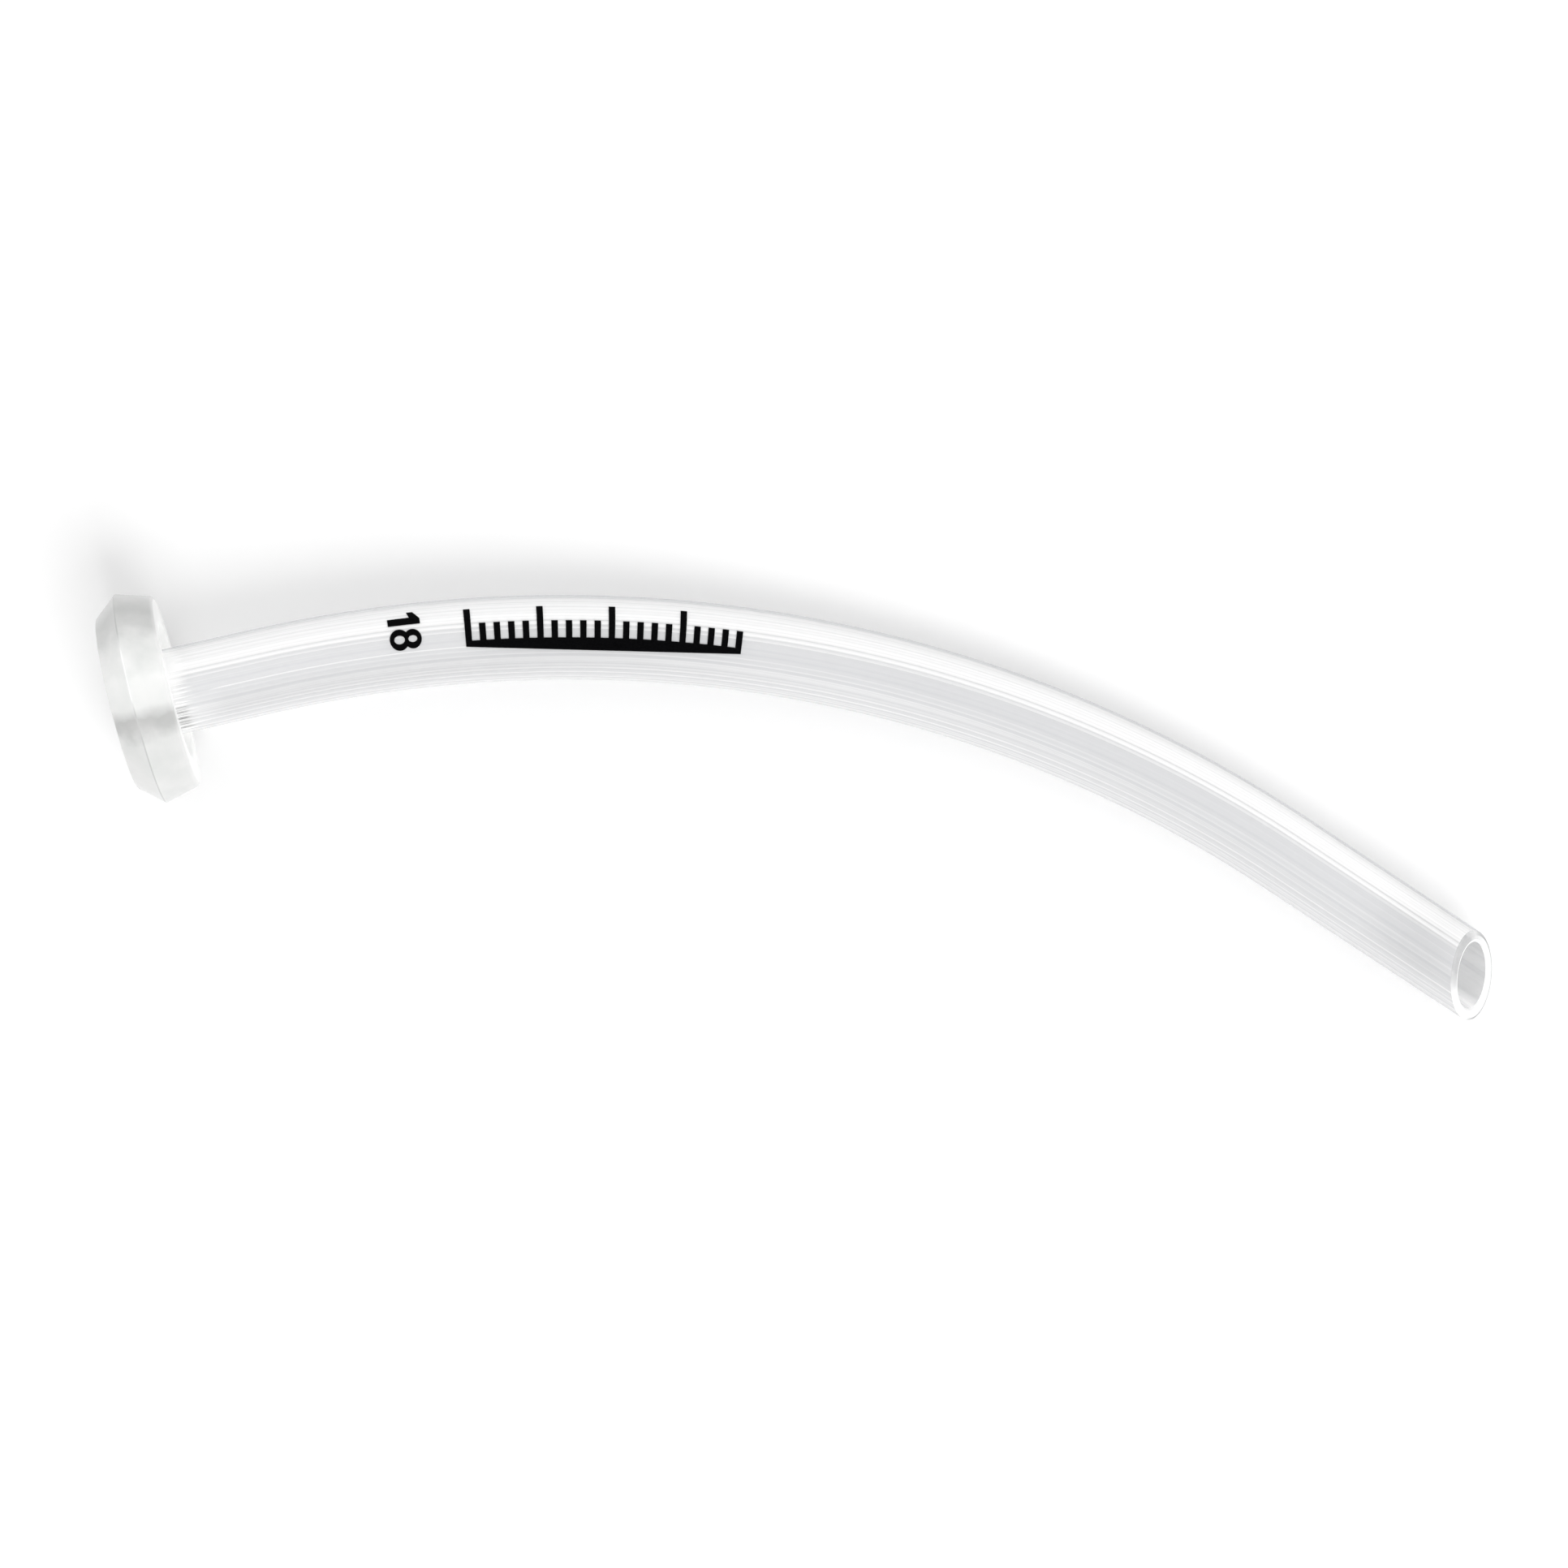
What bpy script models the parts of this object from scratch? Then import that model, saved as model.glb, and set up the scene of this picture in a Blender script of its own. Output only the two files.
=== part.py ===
"""Nasopharyngeal airway, French size 18.

A clear soft tube, heat-set to a curve and cut on the slant at its tip, is bonded through a
moulded flange that stops at the nostril. Two black prints lie on the tube: the size number
and a plain depth scale.

The airway is built along its own axis first: x runs out of the flange into the tube, and the
tube bends towards -y. It is then laid down as it comes to rest on a table, on the flange's
ridge and the underside of the tube, with its weight over the line between the two.
"""
import math

import bmesh
import bpy
import numpy as np
from mathutils import Matrix, Vector

MM = 0.001

# Tube
TUBE_DIAMETER = 6.0 * MM
TUBE_WALL = 0.75 * MM
STRAIGHT_RUN = 6.05 * MM           # between the flange and the start of the bend
BEND_RADIUS = 93.5 * MM
BEND_ANGLE = math.radians(47)
TIP_STRAIGHT = 17.0 * MM           # from the end of the bend to the middle of the cut
BEVEL_ANGLE = math.radians(44)     # of the cut, from square
BEVEL_FACING = math.radians(79)    # from the outside of the bend round to the printed side
TIP_ROUND = 0.25 * MM
MOUTH_CHAMFER = 0.3 * MM           # at the bore, on the flange's outer face

# Flange, from the tube's wall outwards
RECESS_WIDTH = 1.9 * MM
LIP_WIDTH = 1.83 * MM
BAND_RISE = 0.67 * MM              # from the lip's corner up to the ridge
FACE_SETBACK = 1.4 * MM            # from the ridge in to the rim of the outer face

# Flange, along its axis
RIDGE_FROM_FACE = 1.6 * MM
BAND_WIDTH = 2.45 * MM             # from the ridge to the lip
RECESS_DEPTH = 1.6 * MM
RECESS_TAPER = 0.6 * MM

# Flange, its rounded edges and the bead in which the recess meets the tube
FACE_ROUND = 0.2 * MM
RIDGE_ROUND = 0.15 * MM
LIP_ROUND = 0.35 * MM
MOUTH_ROUND = 0.25 * MM
FLOOR_ROUND = 0.4 * MM
BEAD_WIDTH = 0.5 * MM
BEAD_HEIGHT = 0.6 * MM
BOND_GAP = 0.05 * MM               # between the flange's bore and the tube

# Print
INK_THICKNESS = 0.05 * MM
INK_GAP = 0.03 * MM
DIGIT_HEIGHT = 2.2 * MM
DIGIT_FROM_FLANGE = 15.0 * MM
DIGIT_SPACING = 0.32 * MM
DIGIT_FACING = math.radians(51)    # where the first digit starts, round the tube
PRINT_SPACING = 3.0 * MM           # between the number and the depth scale
ONE_STEM = 0.54 * MM
ONE_TOP = 0.4 * MM
ONE_FLAG_REACH = 0.5 * MM          # of the flag's end, to the side of the stem
ONE_FLAG_DROP = 0.45 * MM          # of the flag's end, below the top
ONE_FLAG_WIDTH = 0.4 * MM
ONE_FLAG_RISE = 0.15 * MM          # of the flag's underside, from its end to the stem
EIGHT_LOWER_WIDTH = 1.48 * MM
EIGHT_UPPER_WIDTH = 1.36 * MM
EIGHT_WAIST_WIDTH = 1.0 * MM
EIGHT_WAIST_HEIGHT = 1.17 * MM
EIGHT_STROKE = 0.44 * MM           # at the sides of the loops
EIGHT_BAR = 0.31 * MM              # at the foot and the top
SCALE_FACING = math.radians(55)    # where the long ticks end, round the tube
SCALE_TICKS = 20
SCALE_LONG_EVERY = 5
TICK_PITCH = 1.0 * MM
TICK_WIDTH = 0.45 * MM
LONG_TICK = 2.4 * MM
SHORT_TICK = 1.2 * MM
SCALE_LINE = 0.4 * MM

# Fineness of the facets
TUBE_SIDES = 32
FLANGE_SIDES = 48
BEND_STEPS = 24
ROUND_STEPS = 3
ELLIPSE_STEPS = 24
INK_STRIP = 0.4 * MM               # widest flat strip of a print round the tube
SHARP_ANGLE = math.radians(35)
FILLET_SHARE = 0.45                # of a side or a wall, at most

# What follows from the sizes above
TUBE_RADIUS = TUBE_DIAMETER / 2
BORE_RADIUS = TUBE_RADIUS - TUBE_WALL
FLANGE_BORE = TUBE_RADIUS + BOND_GAP
FLANGE_THICKNESS = RIDGE_FROM_FACE + BAND_WIDTH
ROOT_STRAIGHT = FLANGE_THICKNESS + STRAIGHT_RUN
BEND_LENGTH = BEND_RADIUS * BEND_ANGLE
TUBE_LENGTH = ROOT_STRAIGHT + BEND_LENGTH + TIP_STRAIGHT
DIGIT_START = FLANGE_THICKNESS + DIGIT_FROM_FLANGE
SCALE_START = DIGIT_START + DIGIT_HEIGHT + PRINT_SPACING
INK_RADIUS = TUBE_RADIUS + INK_GAP


def clear_scene():
    for thing in list(bpy.data.objects):
        bpy.data.objects.remove(thing, do_unlink=True)


def material(name, colour, roughness, alpha=1.0):
    made = bpy.data.materials.new(name)
    made.use_nodes = True
    shader = made.node_tree.nodes["Principled BSDF"]
    shader.inputs["Base Color"].default_value = (*colour, 1.0)
    shader.inputs["Roughness"].default_value = roughness
    shader.inputs["Metallic"].default_value = 0.0
    shader.inputs["Alpha"].default_value = alpha
    made.diffuse_color = (*colour, alpha)
    return made


def add_object(name, shape, finish, parent):
    """Turns a bmesh into a smooth-shaded object whose faces point outwards."""
    bmesh.ops.recalc_face_normals(shape, faces=shape.faces)
    if shape.calc_volume(signed=True) < 0:
        bmesh.ops.reverse_faces(shape, faces=shape.faces)
    mesh = bpy.data.meshes.new(name)
    shape.to_mesh(mesh)
    shape.free()
    mesh.materials.append(finish)
    mesh.shade_smooth()
    mesh.set_sharp_from_angle(angle=SHARP_ANGLE)
    made = bpy.data.objects.new(name, mesh)
    bpy.context.collection.objects.link(made)
    made.parent = parent
    return made


def skin_rings(rings):
    """Joins rings of points, each to the next and the last to the first, into a closed skin."""
    shape = bmesh.new()
    rows = [[shape.verts.new(point) for point in ring] for ring in rings]
    sides = len(rows[0])
    for row, after in zip(rows, rows[1:] + rows[:1]):
        for i in range(sides):
            j = (i + 1) % sides
            shape.faces.new((row[i], row[j], after[j], after[i]))
    return shape


def rounded_outline(corners):
    """Fillets a closed outline. Each corner is (x, y, fillet radius)."""
    outline = []
    count = len(corners)
    for i, (x, y, fillet) in enumerate(corners):
        corner = Vector((x, y))
        if not fillet:
            outline.append(corner)
            continue
        before = Vector(corners[i - 1][:2]) - corner
        after = Vector(corners[(i + 1) % count][:2]) - corner
        half = before.angle(after) / 2
        room = FILLET_SHARE * min(before.length, after.length)
        reach = min(fillet / math.tan(half), room)
        radius = reach * math.tan(half)
        middle = (before.normalized() + after.normalized()).normalized()
        centre = corner + middle * (radius / math.sin(half))
        start = corner + before.normalized() * reach - centre
        end = corner + after.normalized() * reach - centre
        for step in range(ROUND_STEPS + 1):
            share = step / ROUND_STEPS
            swing = start.lerp(end, share).normalized() * radius
            outline.append(centre + swing)
    return outline


def turned(outline, sides):
    """Turns an outline of (x, radius) points about the x axis."""
    rings = []
    for side in range(sides):
        turn = math.tau * side / sides
        rings.append([Vector((x, r * math.cos(turn), r * math.sin(turn))) for x, r in outline])
    return skin_rings(rings)


def centreline(distance):
    """Point on the tube's axis and its heading there, at a distance from the outer face."""
    into_bend = min(max(distance - ROOT_STRAIGHT, 0.0), BEND_LENGTH)
    heading = into_bend / BEND_RADIUS
    before_bend = min(distance, ROOT_STRAIGHT)
    after_bend = max(distance - ROOT_STRAIGHT - BEND_LENGTH, 0.0)
    x = before_bend + BEND_RADIUS * math.sin(heading) + after_bend * math.cos(heading)
    y = -BEND_RADIUS * (1 - math.cos(heading)) - after_bend * math.sin(heading)
    return Vector((x, y, 0.0)), heading


def on_tube(distance, facing, radius):
    """Point at a radius from the axis. Facing 0 is the outside of the bend, 90 degrees is +z."""
    centre, heading = centreline(distance)
    outside = Vector((math.sin(heading), math.cos(heading), 0.0))
    upwards = Vector((0.0, 0.0, 1.0))
    return centre + (outside * math.cos(facing) + upwards * math.sin(facing)) * radius


def tube_ring(distance, radius, slant=0.0):
    """One ring of the tube; slant leans it towards the cut's plane."""
    ring = []
    for side in range(TUBE_SIDES):
        facing = math.tau * side / TUBE_SIDES
        lean = slant * radius * math.cos(facing - BEVEL_FACING)
        ring.append(on_tube(distance - lean, facing, radius))
    return ring


def make_tube(finish, parent):
    bend = [ROOT_STRAIGHT + BEND_LENGTH * i / BEND_STEPS for i in range(BEND_STEPS + 1)]
    slant = math.tan(BEVEL_ANGLE)
    round_in = min(TIP_ROUND, FILLET_SHARE * TUBE_WALL)
    chamfer = min(MOUTH_CHAMFER, FILLET_SHARE * TUBE_WALL)

    rings = [tube_ring(0.0, TUBE_RADIUS)]
    rings += [tube_ring(distance, TUBE_RADIUS) for distance in bend]
    for step in range(ROUND_STEPS + 1):
        turn = math.radians(90) * step / ROUND_STEPS
        back = round_in * (1 - math.sin(turn))
        inwards = round_in * (1 - math.cos(turn))
        rings.append(tube_ring(TUBE_LENGTH - back, TUBE_RADIUS - inwards, slant))
    for step in range(ROUND_STEPS + 1):
        turn = math.radians(90) * step / ROUND_STEPS
        back = round_in * (1 - math.cos(turn))
        outwards = round_in * (1 - math.sin(turn))
        rings.append(tube_ring(TUBE_LENGTH - back, BORE_RADIUS + outwards, slant))
    rings += [tube_ring(distance, BORE_RADIUS) for distance in reversed(bend)]
    rings.append(tube_ring(chamfer, BORE_RADIUS))
    rings.append(tube_ring(0.0, BORE_RADIUS + chamfer))
    return add_object("airway_tube", skin_rings(rings), finish, parent)


def make_flange(finish, parent):
    recess_r = TUBE_RADIUS + RECESS_WIDTH
    lip_r = recess_r + LIP_WIDTH
    ridge_r = lip_r + BAND_RISE
    face_r = ridge_r - FACE_SETBACK
    floor_x = FLANGE_THICKNESS - RECESS_DEPTH
    corners = [
        (0.0, FLANGE_BORE, 0.0),
        (0.0, face_r, FACE_ROUND),
        (RIDGE_FROM_FACE, ridge_r, RIDGE_ROUND),
        (FLANGE_THICKNESS, lip_r, LIP_ROUND),
        (FLANGE_THICKNESS, recess_r, MOUTH_ROUND),
        (floor_x, recess_r - RECESS_TAPER, FLOOR_ROUND),
        (floor_x, FLANGE_BORE + BEAD_WIDTH, 0.0),
        (floor_x + BEAD_HEIGHT, FLANGE_BORE, 0.0),
    ]
    return add_object("flange", turned(rounded_outline(corners), FLANGE_SIDES), finish, parent)


def ellipse(centre_x, centre_y, half_x, half_y, start=0.0, sweep=math.tau):
    """Points along an ellipse; a whole one leaves out the point that would repeat the first."""
    whole = abs(sweep) >= math.tau - 1e-6
    steps = ELLIPSE_STEPS if whole else ELLIPSE_STEPS - 1
    points = []
    for step in range(ELLIPSE_STEPS):
        turn = start + sweep * step / steps
        points.append((centre_x + half_x * math.cos(turn), centre_y + half_y * math.sin(turn)))
    return points


def digit_one():
    """Outlines of a 1, with its foot at y = 0, and its width."""
    left = ONE_FLAG_REACH
    right = left + ONE_STEM
    top = DIGIT_HEIGHT
    flag_top = top - ONE_FLAG_DROP
    flag_foot = flag_top - ONE_FLAG_WIDTH
    outline = [(left, 0.0), (right, 0.0), (right, top), (right - ONE_TOP, top),
               (0.0, flag_top), (0.0, flag_foot), (left, flag_foot + ONE_FLAG_RISE)]
    return [outline], right


def digit_eight():
    """Outlines of an 8: two loops that meet at the waist, and their two counters."""
    middle = EIGHT_LOWER_WIDTH / 2
    waist = EIGHT_WAIST_WIDTH / 2
    lower = EIGHT_LOWER_WIDTH / 2
    upper = EIGHT_UPPER_WIDTH / 2
    lower_turn = math.acos(waist / lower)
    upper_turn = math.acos(waist / upper)
    lower_half = EIGHT_WAIST_HEIGHT / (1 + math.sin(lower_turn))
    upper_half = (DIGIT_HEIGHT - EIGHT_WAIST_HEIGHT) / (1 + math.sin(upper_turn))
    upper_centre = DIGIT_HEIGHT - upper_half
    around_lower = ellipse(middle, lower_half, lower, lower_half,
                           math.pi - lower_turn, math.pi + 2 * lower_turn)
    around_upper = ellipse(middle, upper_centre, upper, upper_half,
                           -upper_turn, math.pi + 2 * upper_turn)
    outline = around_lower + around_upper[1:-1]
    counters = [
        ellipse(middle, lower_half, lower - EIGHT_STROKE, lower_half - EIGHT_BAR),
        ellipse(middle, upper_centre, upper - EIGHT_STROKE, upper_half - EIGHT_BAR),
    ]
    return [outline] + counters, EIGHT_LOWER_WIDTH


def depth_scale():
    """Outline of a line with ticks on it, like a comb; x runs across the tube, y along it."""
    width = LONG_TICK + SCALE_LINE
    last = SCALE_TICKS - 1
    outline = [(width, 0.0)]
    for tick in range(SCALE_TICKS):
        tip = 0.0 if tick % SCALE_LONG_EVERY == 0 else LONG_TICK - SHORT_TICK
        start = tick * TICK_PITCH
        if tick > 0:
            outline.append((LONG_TICK, start))
        outline += [(tip, start), (tip, start + TICK_WIDTH)]
        if tick < last:
            outline.append((LONG_TICK, start + TICK_WIDTH))
    outline.append((width, last * TICK_PITCH + TICK_WIDTH))
    return [outline], width


def flat_fill(outlines):
    """Fills outlines, with their holes, into one flat sheet of triangles."""
    curve = bpy.data.curves.new("print_outline", "CURVE")
    curve.dimensions = "2D"
    curve.fill_mode = "BOTH"
    for outline in outlines:
        spline = curve.splines.new("POLY")
        spline.points.add(len(outline) - 1)
        for point, (x, y) in zip(spline.points, outline):
            point.co = (x / MM, y / MM, 0.0, 1.0)
        spline.use_cyclic_u = True
    holder = bpy.data.objects.new("print_outline", curve)
    sheet = bpy.data.meshes.new_from_object(holder)
    shape = bmesh.new()
    shape.from_mesh(sheet)
    bpy.data.objects.remove(holder)
    bpy.data.curves.remove(curve)
    bpy.data.meshes.remove(sheet)
    bmesh.ops.scale(shape, vec=(MM, MM, MM), verts=shape.verts)
    bmesh.ops.remove_doubles(shape, verts=shape.verts, dist=0.001 * MM)
    return shape


def make_print(name, outlines, width, distance, facing, finish, parent):
    """Prints outlines on the tube: x runs round it from facing, y along it from distance."""
    shape = flat_fill(outlines)
    strips = math.ceil(width / INK_STRIP)
    for i in range(1, strips):
        bmesh.ops.bisect_plane(shape, geom=shape.verts[:] + shape.edges[:] + shape.faces[:],
                               dist=0.0001 * MM, plane_co=(width * i / strips, 0.0, 0.0),
                               plane_no=(1.0, 0.0, 0.0))
    grown = bmesh.ops.extrude_face_region(shape, geom=shape.faces[:])
    raised = [part for part in grown["geom"] if isinstance(part, bmesh.types.BMVert)]
    bmesh.ops.translate(shape, verts=raised, vec=(0.0, 0.0, INK_THICKNESS))
    for vert in shape.verts:
        across, along, height = vert.co
        around = facing + across / TUBE_RADIUS
        vert.co = on_tube(distance + along, around, INK_RADIUS + height)
    return add_object(name, shape, finish, parent)


def make_prints(finish, parent):
    one, one_width = digit_one()
    eight, eight_width = digit_eight()
    eight_facing = DIGIT_FACING + (one_width + DIGIT_SPACING) / TUBE_RADIUS
    scale, scale_width = depth_scale()
    make_print("size_digit_1", one, one_width, DIGIT_START, DIGIT_FACING, finish, parent)
    make_print("size_digit_8", eight, eight_width, DIGIT_START, eight_facing, finish, parent)
    make_print("depth_scale", scale, scale_width, SCALE_START, SCALE_FACING, finish, parent)


def corner_array(made):
    return np.array([vert.co[:] for vert in made.data.vertices])


def weigh(pieces):
    """Centre of gravity of pieces of one density, summed over their triangles."""
    volume = 0.0
    moment = np.zeros(3)
    for made in pieces:
        points = corner_array(made)
        for face in made.data.polygons:
            corners = points[list(face.vertices)]
            for i in range(1, len(corners) - 1):
                a, b, c = corners[0], corners[i], corners[i + 1]
                part = np.dot(a, np.cross(b, c)) / 6
                volume += part
                moment += part * (a + b + c) / 4
    return moment / volume


def downwards(roll, pitch):
    """The direction of gravity in the airway's own axes, for a roll and a pitch of the flange."""
    return np.array([math.sin(pitch), math.cos(pitch) * math.sin(roll),
                     -math.cos(pitch) * math.cos(roll)])


def resting_pitch(roll, tube_points, flange_points):
    """Pitch at which the tube and the flange's ridge reach down equally far."""
    low, high = 0.0, math.radians(45)
    for _ in range(40):
        pitch = (low + high) / 2
        down = downwards(roll, pitch)
        if (flange_points @ down).max() > (tube_points @ down).max():
            low = pitch
        else:
            high = pitch
    return (low + high) / 2


def resting_direction(tube, flange):
    """Gravity's direction at rest: the roll that brings the centre of gravity lowest."""
    tube_points, flange_points = corner_array(tube), corner_array(flange)
    centre = weigh([tube, flange])

    def height(roll):
        down = downwards(roll, resting_pitch(roll, tube_points, flange_points))
        return (flange_points @ down).max() - centre @ down

    low, high = 0.0, math.radians(60)
    for _ in range(40):
        third = (high - low) / 3
        if height(low + third) < height(high - third):
            high -= third
        else:
            low += third
    roll = (low + high) / 2
    return downwards(roll, resting_pitch(roll, tube_points, flange_points))


def lay_down(frame, tube, flange):
    """Turns the frame so that the airway rests on z = 0, centred over the origin."""
    up = -Vector(resting_direction(tube, flange))
    ahead = (Vector((1.0, 0.0, 0.0)) - up * up.x).normalized()
    turn = Matrix((ahead, up.cross(ahead), up))
    points = np.vstack([corner_array(tube), corner_array(flange)]) @ np.array(turn).T
    low, high = points.min(axis=0), points.max(axis=0)
    frame.rotation_euler = turn.to_euler()
    frame.location = (-(low[0] + high[0]) / 2, -(low[1] + high[1]) / 2, -low[2])


def build():
    clear_scene()
    frame = bpy.data.objects.new("airway_frame", None)
    frame.empty_display_size = FLANGE_THICKNESS
    bpy.context.collection.objects.link(frame)
    clear_pvc = material("clear_soft_pvc", (0.90, 0.91, 0.92), 0.12, alpha=0.35)
    milky_pvc = material("milky_flange", (0.86, 0.88, 0.86), 0.25, alpha=0.85)
    ink = material("black_ink", (0.01, 0.01, 0.012), 0.5)
    tube = make_tube(clear_pvc, frame)
    flange = make_flange(milky_pvc, frame)
    make_prints(ink, frame)
    lay_down(frame, tube, flange)
    bpy.context.view_layer.update()


build()
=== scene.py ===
"""Looks of the nasopharyngeal airway: clear tube, milky flange, black ink and a pale floor."""
import math

import bmesh
import bpy
from mathutils import Matrix, Vector


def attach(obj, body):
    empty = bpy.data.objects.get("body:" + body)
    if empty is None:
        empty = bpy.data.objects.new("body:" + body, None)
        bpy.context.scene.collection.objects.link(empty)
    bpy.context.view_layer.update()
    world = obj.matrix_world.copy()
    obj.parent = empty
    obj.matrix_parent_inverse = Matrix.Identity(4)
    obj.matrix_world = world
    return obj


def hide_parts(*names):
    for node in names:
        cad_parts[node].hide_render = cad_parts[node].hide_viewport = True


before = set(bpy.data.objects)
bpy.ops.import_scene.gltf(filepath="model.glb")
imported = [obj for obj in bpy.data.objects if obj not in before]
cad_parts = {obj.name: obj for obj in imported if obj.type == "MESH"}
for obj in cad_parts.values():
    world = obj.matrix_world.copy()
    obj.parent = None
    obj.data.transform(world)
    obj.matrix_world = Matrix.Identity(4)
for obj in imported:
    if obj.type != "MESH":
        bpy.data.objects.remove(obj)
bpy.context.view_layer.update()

MM = 0.001

# How the airway lies in the frame
FLANGE_AT = Vector((-0.0459329, 0.0188253, 0.0075176))     # bore's centre on the outer face
PITCH = math.radians(6.3787)
ROLL = math.radians(8.7766)

# Tube
TUBE_RADIUS = 3.0 * MM
TUBE_WALL = 0.75 * MM
BORE_RADIUS = TUBE_RADIUS - TUBE_WALL
FLANGE_THICKNESS = 4.05 * MM
ROOT_STRAIGHT = FLANGE_THICKNESS + 6.05 * MM
BEND_RADIUS = 93.5 * MM
BEND_LENGTH = BEND_RADIUS * math.radians(47)
TIP_STRAIGHT = 17.0 * MM
TUBE_LENGTH = ROOT_STRAIGHT + BEND_LENGTH + TIP_STRAIGHT
BEVEL_SLANT = math.tan(math.radians(44))
BEVEL_FACING = math.radians(79)
TIP_ROUND = 0.25 * MM
MOUTH_CHAMFER = 0.3 * MM

# Tube's mesh
TUBE_SIDES = 384
RING_SPACING = 1.6 * MM
CLEAR_OF_BEVEL = 1.5 * MM                                  # last plain ring, short of the cut
FILLET_STEPS = 6
FILLET_SHARE = 0.45                                        # most of an edge that a fillet takes
SKIN, BORE, CUT = 0, 1, 2                                  # the tube's material slots

# The tube's UV map holds (distance / TUBE_LENGTH, turn round). On the cut, the first goes on from 1
OUTER_FILLET_UV = 1.0
INNER_FILLET_UV = 1.2
FILLET_UV_SPAN = 0.1

# Lines that the extrusion die leaves along the tube: (count round the tube, height in mm, drift)
OUTER_LINES = [(11, 0.0030, 0.5), (29, 0.0024, 0.9), (47, 0.0018, 1.3), (71, 0.0013, 1.7)]
INNER_LINES = [(9, 0.0060, 0.4), (23, 0.0050, 0.8), (41, 0.0036, 1.2), (61, 0.0024, 1.6)]
LINE_SWELL = 0.35
LINE_WANDER = 0.35
SWELL_OFFSET = 2.1
PHASE_OFFSET = 1.7

# Flange, as in the solid. Its UV map holds (turn round, place along the outline)
RECESS_RADIUS = TUBE_RADIUS + 1.9 * MM
LIP_RADIUS = RECESS_RADIUS + 1.83 * MM
RIDGE_RADIUS = LIP_RADIUS + 0.67 * MM
FACE_RADIUS = RIDGE_RADIUS - 1.4 * MM
RIDGE_FROM_FACE = 1.6 * MM
RECESS_DEPTH = 1.6 * MM
RECESS_TAPER = 0.6 * MM
FLANGE_BORE = TUBE_RADIUS - 0.03 * MM                      # bonded, so no air shows
BEAD_WIDTH = 0.5 * MM
BEAD_HEIGHT = 0.6 * MM
FLANGE_SIDES = 192
SHARP_EDGE = math.radians(50)

# Plastic
PLASTIC_IOR = 1.5
PLASTIC_ROUGHNESS = 0.3
CUT_FILM = 0.85                                            # opacity of the cut end
BELT_WANDER = 0.04                                         # of a turn, for the edges of the painted belts of light and shade
PLAIN_LEVEL = 0.82                                         # flange away from its cones

# Light: a strength of 1 is white
SKY_LEVEL = 0.64
SKY_BEHIND = 0.66
LAMP_AT = Vector((0.20, -0.66, 0.90))
LAMP_SIZE = (0.62, 0.62)
LAMP_POWER = 6.5

# Floor
FLOOR_HALF_SIDE = 3.0
FLOOR_GREY = 0.8
FLOOR_LIFT = 0.175
FAR_LIFT = 0.35
FAR_FROM = 0.25
FAR_TO = 0.80

# Camera
CAMERA_DISTANCE = 175.0 * MM
CAMERA_LENS = 54.515
CAMERA_SENSOR = 36.0
CAMERA_CLIP = 0.01
VIEW_YAW = math.radians(13.069)
VIEW_NOD = math.radians(2.460)
VIEW_LEAN = math.radians(3.726)
VIEW_OFFSET = Vector((-2.356 * MM, 1.966 * MM, 0.0))


def axes():
    """The airway's own axes in the frame: along the flange, outside of the bend, printed side."""
    down = Vector((math.sin(PITCH), math.cos(PITCH) * math.sin(ROLL),
                   -math.cos(PITCH) * math.cos(ROLL)))
    up = -down
    ahead = (Vector((1.0, 0.0, 0.0)) - up * up.x).normalized()
    return Matrix((ahead, up.cross(ahead), up))


LIE = axes()


def centreline(distance):
    """Point and heading of the tube's axis at a distance from the outer face."""
    into_bend = min(max(distance - ROOT_STRAIGHT, 0.0), BEND_LENGTH)
    heading = into_bend / BEND_RADIUS
    before_bend = min(distance, ROOT_STRAIGHT)
    after_bend = max(distance - ROOT_STRAIGHT - BEND_LENGTH, 0.0)
    x = before_bend + BEND_RADIUS * math.sin(heading) + after_bend * math.cos(heading)
    y = -BEND_RADIUS * (1 - math.cos(heading)) - after_bend * math.sin(heading)
    return Vector((x, y, 0.0)), heading


def on_tube(distance, facing, radius):
    """Point of the frame at a radius from the tube's axis; facing 0 is the outside of the bend."""
    centre, heading = centreline(distance)
    outside = Vector((math.sin(heading), math.cos(heading), 0.0))
    upwards = Vector((0.0, 0.0, 1.0))
    local = centre + (outside * math.cos(facing) + upwards * math.sin(facing)) * radius
    return FLANGE_AT + LIE @ local


def ripple(lines, distance, facing):
    """Height of the die's lines, which swell and wander slowly along the tube."""
    total = 0.0
    along = distance / TUBE_LENGTH
    for index, (count, height, drift) in enumerate(lines):
        wave = math.sin(drift * along * math.pi + SWELL_OFFSET * index)
        swell = 1 - LINE_SWELL + LINE_SWELL * wave
        phase = PHASE_OFFSET * index + LINE_WANDER * math.sin(drift * along + index)
        total += height * MM * swell * math.sin(count * facing + phase)
    return total


def tube_row(distance, radius, lines, slant=0.0, calm=1.0):
    """One ring of points round the tube. calm fades the die's lines out, down to 0."""
    row = []
    for side in range(TUBE_SIDES):
        facing = math.tau * side / TUBE_SIDES
        lean = slant * radius * math.cos(facing - BEVEL_FACING)
        height = calm * ripple(lines, distance, facing)
        row.append(on_tube(distance - lean, facing, radius + height))
    return row


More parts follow.
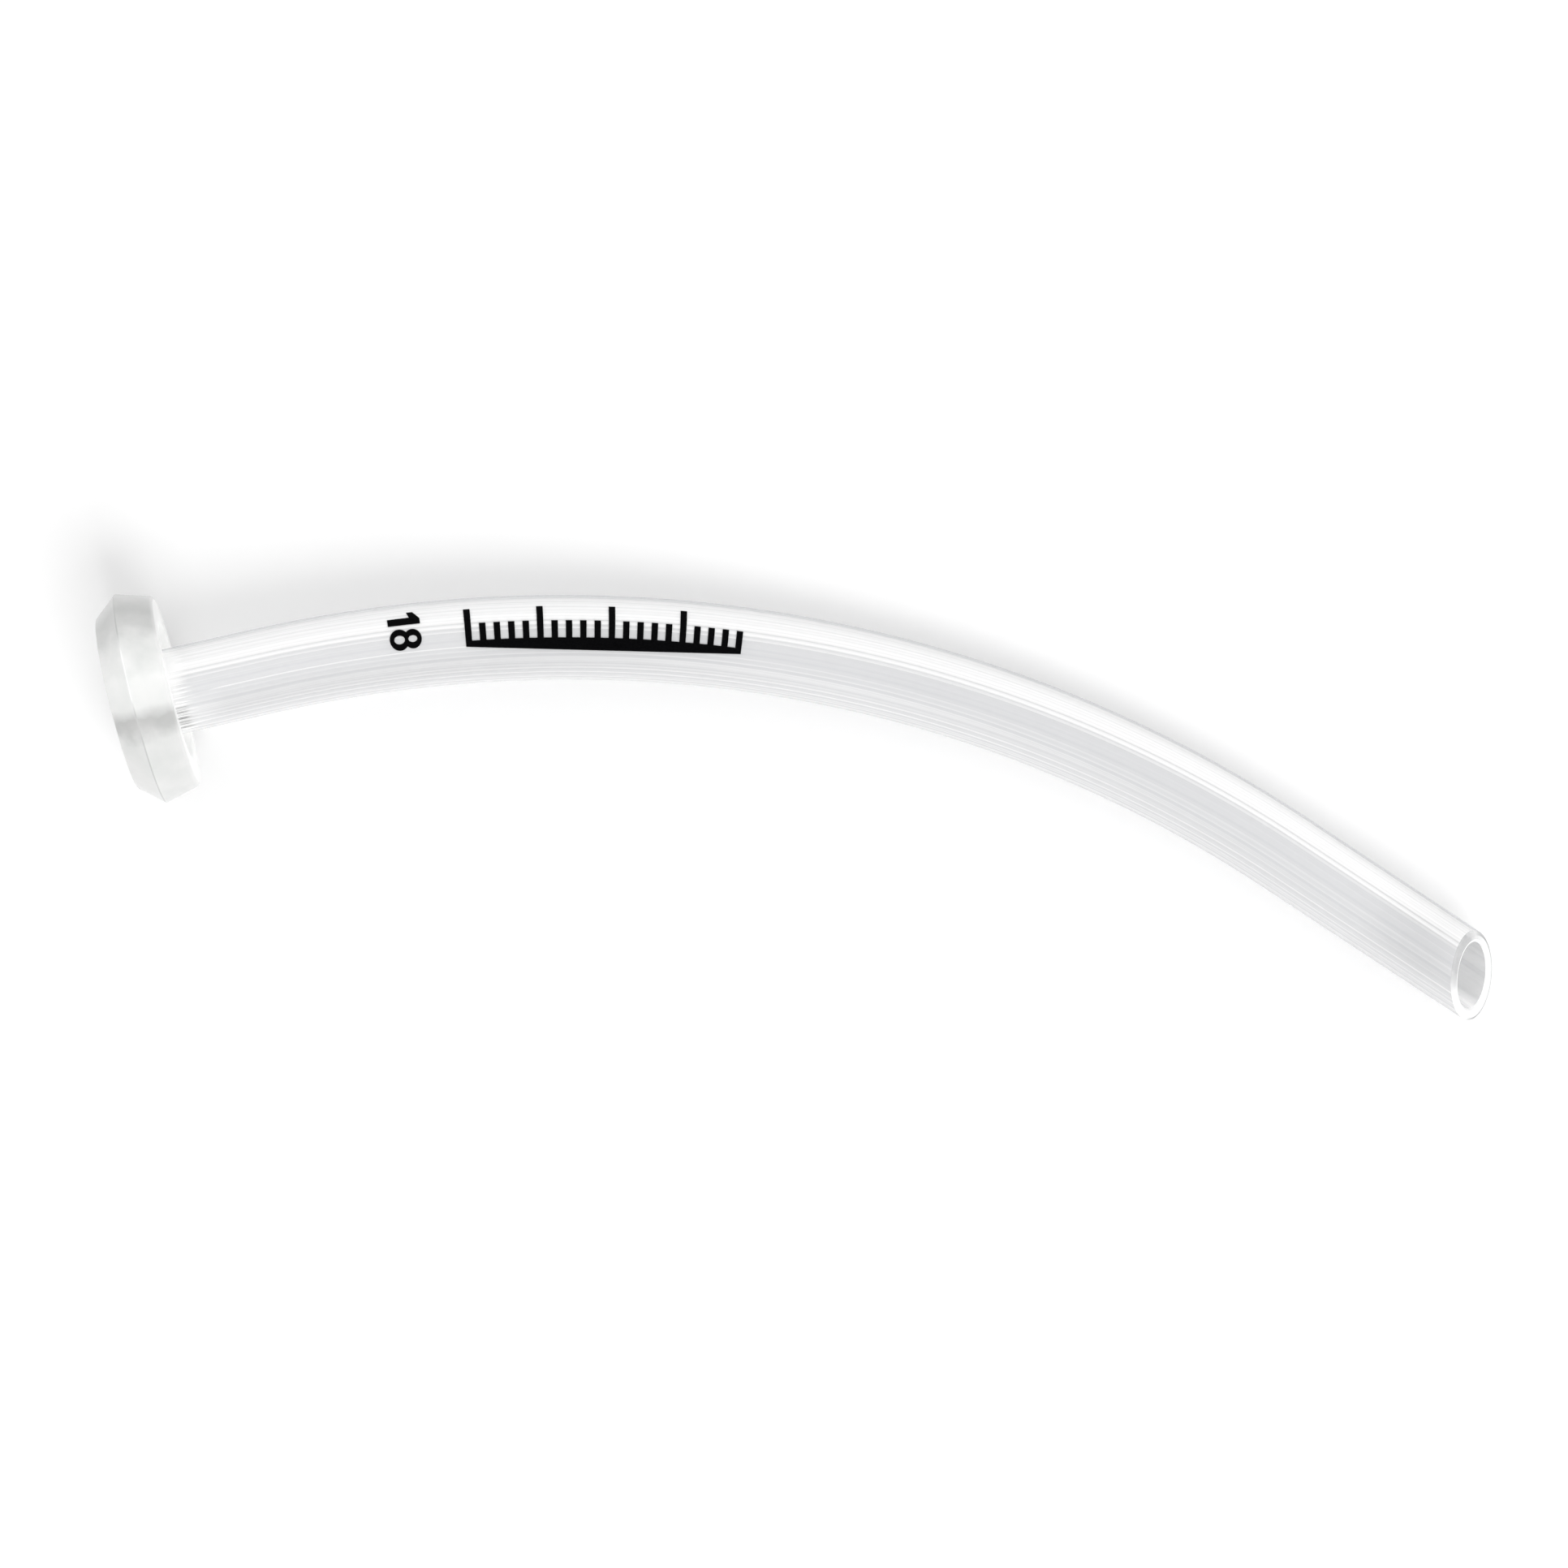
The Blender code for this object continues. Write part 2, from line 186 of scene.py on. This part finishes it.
def skin(rows, stations, name, finishes=None):
    """Closed skin over rings of points, with a UV map of (station, turn round).

    stations has one more value than there are rings, for the ring that closes the skin.
    finishes holds the material slot of the faces from each ring to the next.
    """
    shape = bmesh.new()
    uv = shape.loops.layers.uv.new("UVMap")
    rings = [[shape.verts.new(point) for point in row] for row in rows]
    sides = len(rings[0])
    count = len(rings)
    for i in range(count):
        j = (i + 1) % count
        for k in range(sides):
            after = (k + 1) % sides
            face = shape.faces.new((rings[i][k], rings[i][after], rings[j][after], rings[j][k]))
            face.smooth = True
            face.material_index = finishes[i] if finishes else 0
            corners = ((i, k), (i, k + 1), (i + 1, k + 1), (i + 1, k))
            for loop, (row, turn) in zip(face.loops, corners):
                loop[uv].uv = (stations[row], turn / sides)
    bmesh.ops.recalc_face_normals(shape, faces=shape.faces)
    if shape.calc_volume(signed=True) < 0:
        bmesh.ops.reverse_faces(shape, faces=shape.faces)
    mesh = bpy.data.meshes.new(name)
    shape.to_mesh(mesh)
    shape.free()
    mesh.set_sharp_from_angle(angle=SHARP_EDGE)
    made = bpy.data.objects.new(name, mesh)
    bpy.context.collection.objects.link(made)
    return made


def tube_stations():
    """Distances of the plain rings, about RING_SPACING apart in the root, bend and tip."""
    count = round(BEND_LENGTH / RING_SPACING)
    bend = [ROOT_STRAIGHT + BEND_LENGTH * i / count for i in range(count + 1)]
    root_count = round(ROOT_STRAIGHT / RING_SPACING)
    root = [ROOT_STRAIGHT * i / root_count for i in range(1, root_count)]
    reach = TIP_STRAIGHT - BEVEL_SLANT * TUBE_RADIUS - CLEAR_OF_BEVEL
    tip_count = round(reach / RING_SPACING)
    tip = [ROOT_STRAIGHT + BEND_LENGTH + reach * i / tip_count for i in range(1, tip_count + 1)]
    return root + bend + tip


def make_tube():
    """The tube's rings: outside from flange to tip, round the cut wall, and back along the bore."""
    between = tube_stations()
    rings = [(tube_row(0.0, TUBE_RADIUS, OUTER_LINES), 0.0, SKIN)]
    for distance in between:
        row = tube_row(distance, TUBE_RADIUS, OUTER_LINES)
        rings.append((row, distance / TUBE_LENGTH, SKIN))
    for step in range(FILLET_STEPS + 1):
        turn = math.radians(90) * step / FILLET_STEPS
        back = TIP_ROUND * (1 - math.sin(turn))
        inwards = TIP_ROUND * (1 - math.cos(turn))
        row = tube_row(TUBE_LENGTH - back, TUBE_RADIUS - inwards, OUTER_LINES, BEVEL_SLANT,
                       math.cos(turn))
        rings.append((row, OUTER_FILLET_UV + FILLET_UV_SPAN * step / FILLET_STEPS, CUT))
    for step in range(FILLET_STEPS + 1):
        turn = math.radians(90) * step / FILLET_STEPS
        back = TIP_ROUND * (1 - math.cos(turn))
        outwards = TIP_ROUND * (1 - math.sin(turn))
        row = tube_row(TUBE_LENGTH - back, BORE_RADIUS + outwards, INNER_LINES, BEVEL_SLANT,
                       math.sin(turn))
        finish = BORE if step == FILLET_STEPS else CUT
        rings.append((row, INNER_FILLET_UV + FILLET_UV_SPAN * step / FILLET_STEPS, finish))
    for distance in reversed(between):
        rings.append((tube_row(distance, BORE_RADIUS, INNER_LINES), distance / TUBE_LENGTH, BORE))
    mouth = tube_row(MOUTH_CHAMFER, BORE_RADIUS, INNER_LINES)
    rings.append((mouth, MOUTH_CHAMFER / TUBE_LENGTH, SKIN))
    edge = tube_row(0.0, BORE_RADIUS + MOUTH_CHAMFER, INNER_LINES, 0.0, 0.0)
    rings.append((edge, 0.0, SKIN))
    rows, stations, finishes = [list(column) for column in zip(*rings)]
    return skin(rows, stations + [0.0], "clear_tube", finishes)


def rounded_outline(corners):
    """Fillets a closed outline. Each corner is (x, y, fillet radius)."""
    outline = []
    count = len(corners)
    for i, (x, y, fillet) in enumerate(corners):
        corner = Vector((x, y))
        if not fillet:
            outline.append(corner)
            continue
        before = Vector(corners[i - 1][:2]) - corner
        after = Vector(corners[(i + 1) % count][:2]) - corner
        half = before.angle(after) / 2
        longest = FILLET_SHARE * min(before.length, after.length)
        reach = min(fillet / math.tan(half), longest)
        radius = reach * math.tan(half)
        middle = (before.normalized() + after.normalized()).normalized()
        centre = corner + middle * (radius / math.sin(half))
        start = corner + before.normalized() * reach - centre
        end = corner + after.normalized() * reach - centre
        for step in range(FILLET_STEPS + 1):
            swing = start.lerp(end, step / FILLET_STEPS).normalized() * radius
            outline.append(centre + swing)
    return outline


def make_flange():
    """The flange, turned round the tube's axis, with the bonding bead at its recess."""
    floor_x = FLANGE_THICKNESS - RECESS_DEPTH
    corners = [
        (0.0, FLANGE_BORE, 0.05 * MM),
        (0.0, FACE_RADIUS, 0.2 * MM),
        (RIDGE_FROM_FACE, RIDGE_RADIUS, 0.12 * MM),
        (FLANGE_THICKNESS, LIP_RADIUS, 0.35 * MM),
        (FLANGE_THICKNESS, RECESS_RADIUS, 0.25 * MM),
        (floor_x, RECESS_RADIUS - RECESS_TAPER, 0.4 * MM),
        (floor_x, FLANGE_BORE + BEAD_WIDTH, 0.2 * MM),
        (floor_x + BEAD_HEIGHT, FLANGE_BORE, 0.0),
    ]
    outline = rounded_outline(corners)
    rows = []
    for side in range(FLANGE_SIDES):
        turn = math.tau * side / FLANGE_SIDES
        row = []
        for x, r in outline:
            local = Vector((x, r * math.cos(turn), r * math.sin(turn)))
            row.append(FLANGE_AT + LIE @ local)
        rows.append(row)
    stations = [side / FLANGE_SIDES for side in range(FLANGE_SIDES + 1)]
    return skin(rows, stations, "milky_flange")


class Nodes:
    """A node tree, with short calls to add and join nodes."""

    def __init__(self, tree):
        self.tree = tree

    def add(self, kind, **values):
        node = self.tree.nodes.new(kind)
        for key, value in values.items():
            setattr(node, key, value)
        return node

    def join(self, source, target):
        self.tree.links.new(source, target)

    def math(self, operation, first, second=0.0):
        node = self.add("ShaderNodeMath", operation=operation)
        for socket, value in zip(node.inputs, (first, second)):
            if hasattr(value, "is_linked"):
                self.join(value, socket)
            else:
                socket.default_value = value
        return node.outputs[0]

    def mix(self, factor, first, second):
        """first where the factor is 0, and second where it is 1."""
        rest = self.math("MULTIPLY", self.math("SUBTRACT", 1.0, factor), first)
        return self.math("ADD", rest, self.math("MULTIPLY", factor, second))

    def multiply(self, first, second, factor=None):
        """Product of two colours, all over or as far as the factor says."""
        node = self.add("ShaderNodeMix", data_type="RGBA", blend_type="MULTIPLY")
        if factor is None:
            node.inputs["Factor"].default_value = 1.0
        else:
            self.join(factor, node.inputs["Factor"])
        self.join(first, node.inputs["A"])
        self.join(second, node.inputs["B"])
        return node.outputs["Result"]

    def ramp(self, source, stops):
        """Colour ramp with stops of (place, colour)."""
        node = self.add("ShaderNodeValToRGB")
        elements = node.color_ramp.elements
        while len(elements) < len(stops):
            elements.new(0.5)
        for element, (place, colour) in zip(elements, stops):
            element.position = place
            element.color = (*colour, 1.0)
        self.join(source, node.inputs["Fac"])
        return node.outputs["Color"]

    def grey_ramp(self, source, stops):
        """Ramp with stops of (place, level)."""
        return self.ramp(source, [(place, (level, level, level)) for place, level in stops])

    def uv_parts(self):
        split = self.add("ShaderNodeSeparateXYZ")
        self.join(self.add("ShaderNodeTexCoord").outputs["UV"], split.inputs[0])
        return split.outputs["X"], split.outputs["Y"]

    def grain(self, scale, detail=2.0):
        """Noise that is fixed to the object, with its scale in repeats a metre."""
        noise = self.add("ShaderNodeTexNoise")
        noise.inputs["Scale"].default_value = scale
        noise.inputs["Detail"].default_value = detail
        self.join(self.add("ShaderNodeTexCoord").outputs["Object"], noise.inputs["Vector"])
        return noise.outputs["Fac"]

    def lengthwise_noise(self, around, along):
        """Noise drawn out along the tube, with no seam where the UV map closes."""
        distance, part = self.uv_parts()
        turn = self.math("MULTIPLY", part, math.tau)
        place = self.add("ShaderNodeCombineXYZ")
        self.join(self.math("MULTIPLY", self.math("COSINE", turn), around), place.inputs["X"])
        self.join(self.math("MULTIPLY", self.math("SINE", turn), around), place.inputs["Y"])
        self.join(self.math("MULTIPLY", distance, along), place.inputs["Z"])
        noise = self.add("ShaderNodeTexNoise")
        noise.inputs["Scale"].default_value = 1.0
        self.join(place.outputs[0], noise.inputs["Vector"])
        return noise.outputs["Fac"]


def new_material(name):
    """A material with its nodes and its shader."""
    material = bpy.data.materials.new(name)
    material.use_nodes = True
    nodes = Nodes(material.node_tree)
    return material, nodes, nodes.tree.nodes["Principled BSDF"]


def new_plastic(name):
    """A material with the gloss that all the plastic has."""
    material, nodes, shader = new_material(name)
    shader.inputs["IOR"].default_value = PLASTIC_IOR
    shader.inputs["Roughness"].default_value = PLASTIC_ROUGHNESS
    return material, nodes, shader


def bond_haze(nodes):
    """White next to the flange's bond, with a ragged end where the die's lines set in."""
    along = nodes.uv_parts()[0]
    ragged = nodes.math("MULTIPLY", nodes.lengthwise_noise(30.0, 0.5), 0.04)
    place = nodes.math("ADD", along, ragged)
    return nodes.grey_ramp(place, [(0.0, 0.5), (0.056, 0.5), (0.068, 0.0)])


def painted_highlight_line(nodes):
    """A thin painted highlight line on the printed side, fading half way to the tip."""
    along, turn = nodes.uv_parts()
    across = nodes.grey_ramp(turn, [(0.2975, 0.0), (0.2990, 0.5), (0.3005, 0.5), (0.3020, 0.0)])
    length = nodes.grey_ramp(along, [(0.055, 0.0), (0.07, 1.0), (0.30, 1.0), (0.40, 0.0)])
    return nodes.math("MULTIPLY", across, length)


def line_ends(nodes):
    """Dark ends of the die's lines where the bond stops them, on the inside of the bend."""
    along, turn = nodes.uv_parts()
    ends = nodes.grey_ramp(nodes.lengthwise_noise(55.0, 0.5), [(0.50, 0.0), (0.56, 1.0)])
    near = nodes.grey_ramp(along, [(0.034, 0.0), (0.038, 1.0), (0.0445, 1.0), (0.0475, 0.0)])
    inside = nodes.grey_ramp(turn, [(0.33, 0.0), (0.345, 1.0), (0.445, 1.0), (0.46, 0.0)])
    return nodes.math("MULTIPLY", nodes.math("MULTIPLY", ends, near), inside)


def painted_shade_zone(nodes):
    """Painted shade: a slightly darker zone on the inside of the bend, from the bond to half way.
    """
    along, turn = nodes.uv_parts()
    length = nodes.grey_ramp(along, [(0.05, 0.0), (0.07, 0.16), (0.25, 0.16), (0.50, 0.0)])
    across = nodes.grey_ramp(turn, [(0.29, 0.0), (0.35, 1.0), (0.43, 1.0), (0.47, 0.0)])
    return nodes.math("MULTIPLY", length, across)


def painted_rim_shade(nodes, tint):
    """Painted shade: darker where the wall is seen edge on, on the tube's upper side."""
    turn = nodes.uv_parts()[1]
    rim = nodes.add("ShaderNodeLayerWeight")
    rim.inputs["Blend"].default_value = 0.5
    shade = nodes.ramp(rim.outputs["Facing"],
                       [(0.62, (1.0, 1.0, 1.0)), (0.95, (0.52, 0.54, 0.58))])
    upper = nodes.grey_ramp(turn, [(0.0, 1.0), (0.25, 1.0), (0.30, 0.0), (0.85, 0.0), (0.95, 1.0)])
    return nodes.multiply(tint, shade, upper)


def streaky_pvc(name, around, colours, haze, sides, mouth, marked=False):
    """Clear plastic with the hazy lengthwise lines that the die leaves, and painted light.

    colours and haze hold the tint and the opacity against the strength of the die's lines and
    of painted highlights. sides adds painted light to that strength, and mouth darkens the
    last part before the tip with painted shade, both against the turn round the tube. marked
    adds the painted highlight line, the painted shade zone and the dark line ends.
    """
    material, nodes, shader = new_plastic(name)
    along, turn = nodes.uv_parts()
    # Strength of the die's lines and the bond's haze, with painted light added by sides and by the
    # painted highlight line
    streaks_and_highlights = nodes.math("ADD", nodes.lengthwise_noise(around, 0.35), bond_haze(nodes))
    streaks_and_highlights = nodes.math("ADD", streaks_and_highlights, nodes.grey_ramp(turn, sides))
    if marked:
        streaks_and_highlights = nodes.math("ADD", streaks_and_highlights, painted_highlight_line(nodes))
    places = (0.32, 0.50, 0.68, 1.0)
    tint = painted_rim_shade(nodes, nodes.ramp(streaks_and_highlights, list(zip(places, colours))))
    # Painted shade near the tip, round the tube as mouth gives it
    near_tip = nodes.grey_ramp(along, [(0.90, 0.0), (0.955, 1.0)])
    painted_tip_shade = nodes.math("MULTIPLY", near_tip, nodes.grey_ramp(turn, mouth))
    tint = nodes.multiply(tint, nodes.math("SUBTRACT", 1.0, painted_tip_shade))
    if marked:
        # Painted shade on the inside of the bend, with the real dark ends of the die's lines
        ends = nodes.math("MULTIPLY", line_ends(nodes), 0.8)
        line_ends_and_painted_shade = nodes.math("ADD", painted_shade_zone(nodes), ends)
        tint = nodes.multiply(tint, nodes.math("SUBTRACT", 1.0, line_ends_and_painted_shade))
    nodes.join(tint, shader.inputs["Base Color"])
    nodes.join(nodes.grey_ramp(streaks_and_highlights, list(zip(places, haze))), shader.inputs["Alpha"])
    shader.inputs["Coat Weight"].default_value = 0.6
    shader.inputs["Coat Roughness"].default_value = 0.2
    shader.inputs["Coat IOR"].default_value = PLASTIC_IOR
    bump = nodes.add("ShaderNodeBump")
    bump.inputs["Strength"].default_value = 0.6
    bump.inputs["Distance"].default_value = 0.02 * MM
    nodes.join(nodes.lengthwise_noise(24.0, 0.5), bump.inputs["Height"])
    nodes.join(bump.outputs["Normal"], shader.inputs["Coat Normal"])
    return material


def clear_pvc():
    """The tube's outside, lighter on the outside of the bend in a painted highlight band."""
    greys = ((0.73, 0.735, 0.757), (0.86, 0.863, 0.875), (1.0, 1.0, 1.0), (1.0, 1.0, 1.0))
    haze = (0.55, 0.50, 0.65, 0.95)
    # Painted highlight: a lighter band on the outside of the bend
    sides = [(0.0, 0.03), (0.09, 0.06), (0.125, 0.22), (0.16, 0.32), (0.205, 0.32), (0.25, 0.0),
             (0.40, 0.0), (0.50, 0.03), (1.0, 0.03)]
    # Painted shade: a little darker all round near the tip
    mouth = [(0.0, 0.07), (1.0, 0.07)]
    return streaky_pvc("clear_pvc", 15.0, greys, haze, sides, mouth, marked=True)


def bore_pvc():
    """The bore, grey near the tip in painted shade except for a strip on the inside of the bend,
    which is lighter all along in painted light.
    """
    greys = ((0.70, 0.705, 0.72), (0.90, 0.903, 0.91), (1.0, 1.0, 1.0), (1.0, 1.0, 1.0))
    haze = (0.60, 0.50, 0.45, 0.9)
    # Painted light: a lighter strip on the inside of the bend
    sides = [(0.0, 0.0), (0.44, 0.0), (0.48, 0.30), (0.66, 0.30), (0.70, 0.0), (1.0, 0.0)]
    # Painted shade: grey near the tip, except on that strip
    mouth = [(0.0, 0.34), (0.42, 0.30), (0.48, 0.0), (0.66, 0.0), (0.71, 0.34), (1.0, 0.34)]
    return streaky_pvc("bore_pvc", 11.0, greys, haze, sides, mouth)


def cut_pvc():
    """The cut end, with painted light and shade: grey in painted shade and clear on its upper side,
    with a painted highlight at the bore's edge, and elsewhere white in painted light with a dark
    outline of painted shade.
    """
    material, nodes, shader = new_plastic("cut_pvc")
    tint = nodes.ramp(nodes.grain(2500.0), [(0.3, (0.93, 0.935, 0.94)), (0.7, (1.0, 1.0, 1.0))])
    along, turn = nodes.uv_parts()
    across = nodes.math("SUBTRACT", along, OUTER_FILLET_UV)
    # Painted shade on the upper side: grey over the outer fillet and the face, with a painted
    # highlight on the fillet at the bore's edge
    upper = nodes.grey_ramp(turn, [(0.0, 0.0), (0.10, 0.5), (0.14, 1.0), (0.32, 1.0), (0.40, 0.0),
                                   (1.0, 0.0)])
    painted_upper_wall = nodes.grey_ramp(across, [(0.0, 0.85), (0.19, 0.85), (0.20, 1.0), (0.30, 1.0)])
    upper_film = nodes.grey_ramp(across, [(0.0, 0.3), (0.19, 0.3), (0.20, 0.95), (0.30, 0.95)])
    # Painted shade: a dark outline on the outer fillet, away from the upper side
    outer_edge = nodes.grey_ramp(across, [(0.0, 1.0), (0.085, 1.0), (0.105, 0.0)])
    lower = nodes.grey_ramp(turn, [(0.0, 0.7), (0.06, 0.7), (0.10, 0.0), (0.55, 0.0),
                                   (0.62, 0.7), (1.0, 0.7)])
    outline = nodes.math("MULTIPLY", outer_edge, lower)
    painted_lower_wall = nodes.math("SUBTRACT", 1.0, outline)
    wall = nodes.mix(upper, painted_lower_wall, painted_upper_wall)
    nodes.join(nodes.multiply(tint, wall), shader.inputs["Base Color"])
    nodes.join(nodes.mix(upper, CUT_FILM, upper_film), shader.inputs["Alpha"])
    return material


def milky_pvc():
    """Milky plastic, with painted light and shade: a lighter and a darker belt round the flange,
    and a ridge that is white in a painted highlight on one part and darker in painted shade
    elsewhere.
    """
    material, nodes, shader = new_plastic("milky_pvc")
    cloud = nodes.grain(500.0, detail=4.0)
    tint = nodes.ramp(cloud, [(0.3, (0.89, 0.905, 0.89)), (0.7, (1.0, 1.0, 0.99))])
    turn, outline = nodes.uv_parts()
    wander = nodes.math("MULTIPLY", nodes.math("SUBTRACT", cloud, 0.5), BELT_WANDER)
    # Painted light and shade: lighter and darker belts round the flange's cones, by the turn
    painted_belts = nodes.grey_ramp(nodes.math("ADD", turn, wander),
                            [(0.0, 0.56), (0.12, 0.55), (0.16, 0.64), (0.19, 0.80), (0.25, 0.90),
                             (0.292, 0.84), (0.313, 0.52), (0.328, 0.56), (0.350, 0.75),
                             (0.50, 0.76), (1.0, 0.56)])
    on_cones = nodes.grey_ramp(outline, [(0.20, 0.0), (0.26, 1.0), (0.50, 1.0), (0.56, 0.0)])
    on_ridge = nodes.grey_ramp(outline, [(0.281, 0.0), (0.30, 1.0), (0.38, 1.0), (0.399, 0.0)])
    # Painted highlight on part of the ridge, and painted shade on the rest of it
    ridge = nodes.grey_ramp(turn, [(0.0, 0.45), (0.17, 0.50), (0.21, 1.0), (0.275, 1.0),
                                   (0.30, 0.55), (1.0, 0.55)])
    levels = nodes.mix(on_ridge, nodes.mix(on_cones, PLAIN_LEVEL, painted_belts), ridge)
    nodes.join(nodes.multiply(tint, levels), shader.inputs["Base Color"])
    shader.inputs["Subsurface Weight"].default_value = 0.4
    shader.inputs["Subsurface Radius"].default_value = (1.0, 1.0, 1.0)
    shader.inputs["Subsurface Scale"].default_value = 1.0 * MM
    # Stands for the light that milky plastic carries into the recess
    carried = nodes.grey_ramp(outline, [(0.44, 0.0), (0.50, 0.10), (0.56, 0.27), (1.0, 0.27)])
    nodes.join(carried, shader.inputs["Emission Strength"])
    shader.inputs["Emission Color"].default_value = (1.0, 1.0, 0.99, 1.0)
    shader.inputs["Coat Weight"].default_value = 0.5
    shader.inputs["Coat Roughness"].default_value = 0.15
    return material


def printing_ink():
    """Black ink, nearly matt."""
    material, nodes, shader = new_material("printing_ink")
    tint = nodes.ramp(nodes.grain(9000.0),
                      [(0.35, (0.001, 0.001, 0.0013)), (0.7, (0.003, 0.003, 0.0035))])
    nodes.join(tint, shader.inputs["Base Color"])
    shader.inputs["Roughness"].default_value = 0.55
    shader.inputs["Specular IOR Level"].default_value = 0.02
    return material


def seen_directly(nodes):
    """1 for rays from the camera, or through gloss or clear plastic, and 0 for lighting rays."""
    path = nodes.add("ShaderNodeLightPath")
    seen = nodes.math("MAXIMUM", path.outputs["Is Camera Ray"], path.outputs["Is Glossy Ray"])
    return nodes.math("MAXIMUM", seen, path.outputs["Is Transmission Ray"])


def floor_paper():
    """Pale paper that is seen as white and still keeps the object's shadow."""
    material, nodes, shader = new_material("floor_paper")
    nodes.tree.nodes.remove(shader)
    diffuse = nodes.add("ShaderNodeBsdfDiffuse")
    diffuse.inputs["Color"].default_value = (FLOOR_GREY, FLOOR_GREY, FLOOR_GREY, 1.0)
    lift = nodes.add("ShaderNodeEmission")
    distance = nodes.add("ShaderNodeVectorMath", operation="LENGTH")
    nodes.join(nodes.add("ShaderNodeTexCoord").outputs["Object"], distance.inputs[0])
    far_lift = nodes.grey_ramp(distance.outputs["Value"], [(FAR_FROM, 0.0), (FAR_TO, FAR_LIFT)])
    levels = nodes.math("ADD", far_lift, FLOOR_LIFT)
    nodes.join(nodes.math("MULTIPLY", seen_directly(nodes), levels), lift.inputs["Strength"])
    both = nodes.add("ShaderNodeAddShader")
    nodes.join(diffuse.outputs[0], both.inputs[0])
    nodes.join(lift.outputs[0], both.inputs[1])
    nodes.join(both.outputs[0], nodes.tree.nodes["Material Output"].inputs["Surface"])
    return material


def make_floor():
    """One flat sheet on z = 0."""
    shape = bmesh.new()
    bmesh.ops.create_grid(shape, x_segments=1, y_segments=1, size=FLOOR_HALF_SIDE)
    mesh = bpy.data.meshes.new("floor")
    shape.to_mesh(mesh)
    shape.free()
    mesh.materials.append(floor_paper())
    floor = bpy.data.objects.new("floor", mesh)
    bpy.context.collection.objects.link(floor)


def make_world():
    """White where it is seen. Where it lights, a plain sky that is brighter behind the object."""
    world = bpy.data.worlds.new("studio")
    world.use_nodes = True
    nodes = Nodes(world.node_tree)
    background = nodes.tree.nodes["Background"]
    background.inputs["Color"].default_value = (1.0, 1.0, 1.0, 1.0)
    split = nodes.add("ShaderNodeSeparateXYZ")
    nodes.join(nodes.add("ShaderNodeTexCoord").outputs["Generated"], split.inputs[0])
    behind = nodes.math("MULTIPLY", nodes.math("MAXIMUM", split.outputs["Y"], 0.0), SKY_BEHIND)
    sky = nodes.math("ADD", behind, SKY_LEVEL)
    nodes.join(nodes.mix(seen_directly(nodes), sky, 1.0), background.inputs["Strength"])
    bpy.context.scene.world = world


def make_lamp():
    """One large soft lamp in front of the object, which doesn't show in gloss."""
    data = bpy.data.lights.new("key", "AREA")
    data.shape = "RECTANGLE"
    data.size, data.size_y = LAMP_SIZE
    data.energy = LAMP_POWER
    lamp = bpy.data.objects.new("key", data)
    lamp.location = LAMP_AT
    lamp.rotation_euler = (-LAMP_AT).to_track_quat("-Z", "Y").to_euler()
    lamp.visible_glossy = False
    lamp.visible_transmission = False
    bpy.context.collection.objects.link(lamp)


def make_camera():
    """A camera at the photograph's viewing angle, almost straight down."""
    lean = Matrix.Rotation(VIEW_NOD, 3, "X") @ Matrix.Rotation(VIEW_LEAN, 3, "Y")
    to_camera = lean @ Matrix.Rotation(VIEW_YAW, 3, "Z")
    away = Vector((0.0, 0.0, CAMERA_DISTANCE)) + lean @ VIEW_OFFSET
    place = to_camera.transposed() @ away
    data = bpy.data.cameras.new("camera")
    data.lens = CAMERA_LENS
    data.sensor_width = CAMERA_SENSOR
    data.clip_start = CAMERA_CLIP
    camera = bpy.data.objects.new("camera", data)
    camera.matrix_world = Matrix.Translation(place) @ to_camera.transposed().to_4x4()
    bpy.context.collection.objects.link(camera)
    bpy.context.scene.camera = camera


make_camera()
tube = make_tube()
tube.data.materials.append(clear_pvc())
tube.data.materials.append(bore_pvc())
tube.data.materials.append(cut_pvc())
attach(tube, "root")
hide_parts("airway_tube")

flange = make_flange()
flange.data.materials.append(milky_pvc())
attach(flange, "root")
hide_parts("flange")

ink = printing_ink()
for name in ("size_digit_1", "size_digit_8", "depth_scale"):
    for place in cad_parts[name].material_slots:
        place.material = ink

make_floor()
make_world()
make_lamp()
bpy.context.scene.view_settings.view_transform = "Standard"
